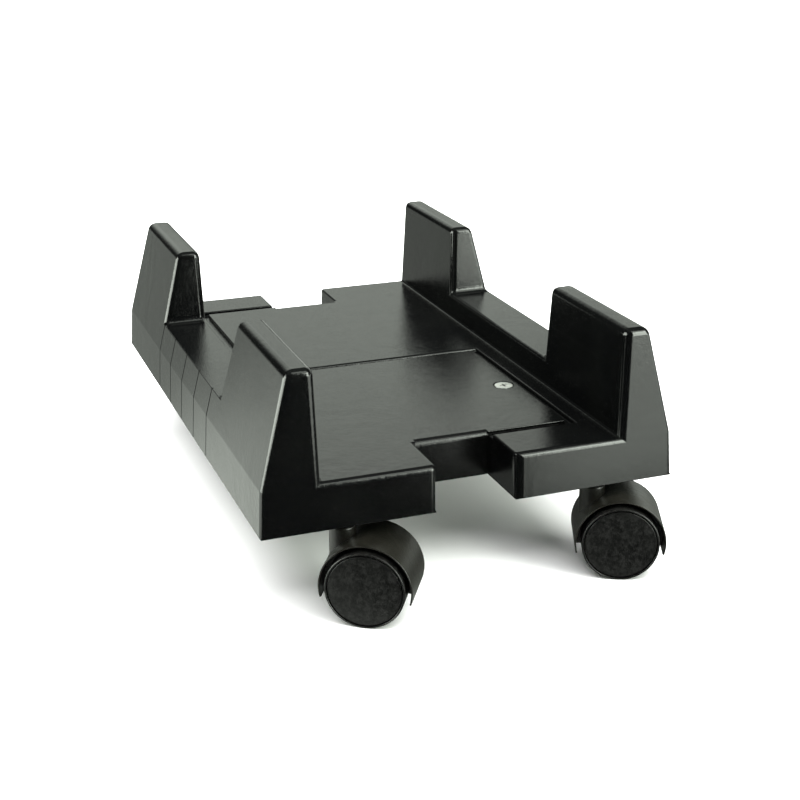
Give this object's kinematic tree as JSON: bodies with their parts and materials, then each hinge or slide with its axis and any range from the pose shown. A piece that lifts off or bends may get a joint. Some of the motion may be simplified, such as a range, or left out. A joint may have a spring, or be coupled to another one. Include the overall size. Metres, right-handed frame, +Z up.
{
  "type": "computer case stand",
  "caption": "Width-adjustable rolling stand for an upright computer case: interlocking black plastic halves with corner posts and rails, lock screws and hooded casters.",
  "frame": {"origin": "on the floor, under the middle of the stand with the halves closed up", "axes": "+Z up, +Y along the long side from front to rear, +X towards the right half, the way the width opens"},
  "size_m": [0.2111, 0.342, 0.1243],
  "materials": {
    "shell_plastic": "fine moulded texture, satin black",
    "hood_plastic": "smooth satin black with a slight olive cast",
    "wheel_nylon": "fine grain, matte black",
    "plated_steel": "zinc plated",
    "bright_screw": "nickel plated"
  },
  "bodies": {
    "left_half": {"left_shell": "shell_plastic", "left_lock_screw": "bright_screw", "left_lock_washer": "bright_screw", "front_left_stem": "plated_steel", "front_left_stem_sleeve": "plated_steel", "rear_left_stem": "plated_steel", "rear_left_stem_sleeve": "plated_steel"},
    "left_wing_nut": {"left_wing_nut": "plated_steel"},
    "right_half": {"right_shell": "shell_plastic", "right_lock_screw": "bright_screw", "right_lock_washer": "bright_screw", "front_right_stem": "plated_steel", "front_right_stem_sleeve": "plated_steel", "rear_right_stem": "plated_steel", "rear_right_stem_sleeve": "plated_steel"},
    "right_wing_nut": {"right_wing_nut": "plated_steel"},
    "front_left_caster": {"front_left_hood": "hood_plastic", "front_left_axle": "plated_steel"},
    "front_left_wheel_a": {"front_left_wheel_a": "wheel_nylon"},
    "front_left_wheel_b": {"front_left_wheel_b": "wheel_nylon"},
    "front_right_caster": {"front_right_hood": "hood_plastic", "front_right_axle": "plated_steel"},
    "front_right_wheel_a": {"front_right_wheel_a": "wheel_nylon"},
    "front_right_wheel_b": {"front_right_wheel_b": "wheel_nylon"},
    "rear_left_caster": {"rear_left_hood": "hood_plastic", "rear_left_axle": "plated_steel"},
    "rear_left_wheel_a": {"rear_left_wheel_a": "wheel_nylon"},
    "rear_left_wheel_b": {"rear_left_wheel_b": "wheel_nylon"},
    "rear_right_caster": {"rear_right_hood": "hood_plastic", "rear_right_axle": "plated_steel"},
    "rear_right_wheel_a": {"rear_right_wheel_a": "wheel_nylon"},
    "rear_right_wheel_b": {"rear_right_wheel_b": "wheel_nylon"}
  },
  "joints": [
    {"name": "width_slide", "type": "slide", "parent": "left_half", "child": "right_half", "axis": [1, 0, 0], "range_m": [0, 0.057]},
    {"name": "left_wing_nut_turn", "type": "hinge", "parent": "left_half", "child": "left_wing_nut", "pos_m": [0.0545, -0.0604, 0.0577], "axis": [0, 0, 1], "continuous": true},
    {"name": "right_wing_nut_turn", "type": "hinge", "parent": "right_half", "child": "right_wing_nut", "pos_m": [-0.0545, 0.0604, 0.0577], "axis": [0, 0, 1], "continuous": true},
    {"name": "front_left_swivel", "type": "hinge", "parent": "left_half", "child": "front_left_caster", "pos_m": [-0.063, -0.139, 0.0447], "axis": [0, 0, 1], "continuous": true},
    {"name": "front_left_wheel_a_spin", "type": "hinge", "parent": "front_left_caster", "child": "front_left_wheel_a", "pos_m": [-0.05125, -0.14643, 0.019], "axis": [-0.5344, -0.8453, 0], "continuous": true},
    {"name": "front_left_wheel_b_spin", "type": "hinge", "parent": "front_left_caster", "child": "front_left_wheel_b", "pos_m": [-0.05125, -0.14643, 0.019], "axis": [-0.5344, -0.8453, 0], "continuous": true},
    {"name": "front_right_swivel", "type": "hinge", "parent": "right_half", "child": "front_right_caster", "pos_m": [0.0669, -0.139, 0.0447], "axis": [0, 0, 1], "continuous": true},
    {"name": "front_right_wheel_a_spin", "type": "hinge", "parent": "front_right_caster", "child": "front_right_wheel_a", "pos_m": [0.07961, -0.14463, 0.019], "axis": [-0.4051, -0.9143, 0], "continuous": true},
    {"name": "front_right_wheel_b_spin", "type": "hinge", "parent": "front_right_caster", "child": "front_right_wheel_b", "pos_m": [0.07961, -0.14463, 0.019], "axis": [-0.4051, -0.9143, 0], "continuous": true},
    {"name": "rear_left_swivel", "type": "hinge", "parent": "left_half", "child": "rear_left_caster", "pos_m": [-0.0669, 0.139, 0.0447], "axis": [0, 0, 1], "continuous": true},
    {"name": "rear_left_wheel_a_spin", "type": "hinge", "parent": "rear_left_caster", "child": "rear_left_wheel_a", "pos_m": [-0.05515, 0.14643, 0.019], "axis": [0.5344, -0.8453, 0], "continuous": true},
    {"name": "rear_left_wheel_b_spin", "type": "hinge", "parent": "rear_left_caster", "child": "rear_left_wheel_b", "pos_m": [-0.05515, 0.14643, 0.019], "axis": [0.5344, -0.8453, 0], "continuous": true},
    {"name": "rear_right_swivel", "type": "hinge", "parent": "right_half", "child": "rear_right_caster", "pos_m": [0.063, 0.139, 0.0447], "axis": [0, 0, 1], "continuous": true},
    {"name": "rear_right_wheel_a_spin", "type": "hinge", "parent": "rear_right_caster", "child": "rear_right_wheel_a", "pos_m": [0.07571, 0.14463, 0.019], "axis": [0.4051, -0.9143, 0], "continuous": true},
    {"name": "rear_right_wheel_b_spin", "type": "hinge", "parent": "rear_right_caster", "child": "rear_right_wheel_b", "pos_m": [0.07571, 0.14463, 0.019], "axis": [0.4051, -0.9143, 0], "continuous": true}
  ]
}
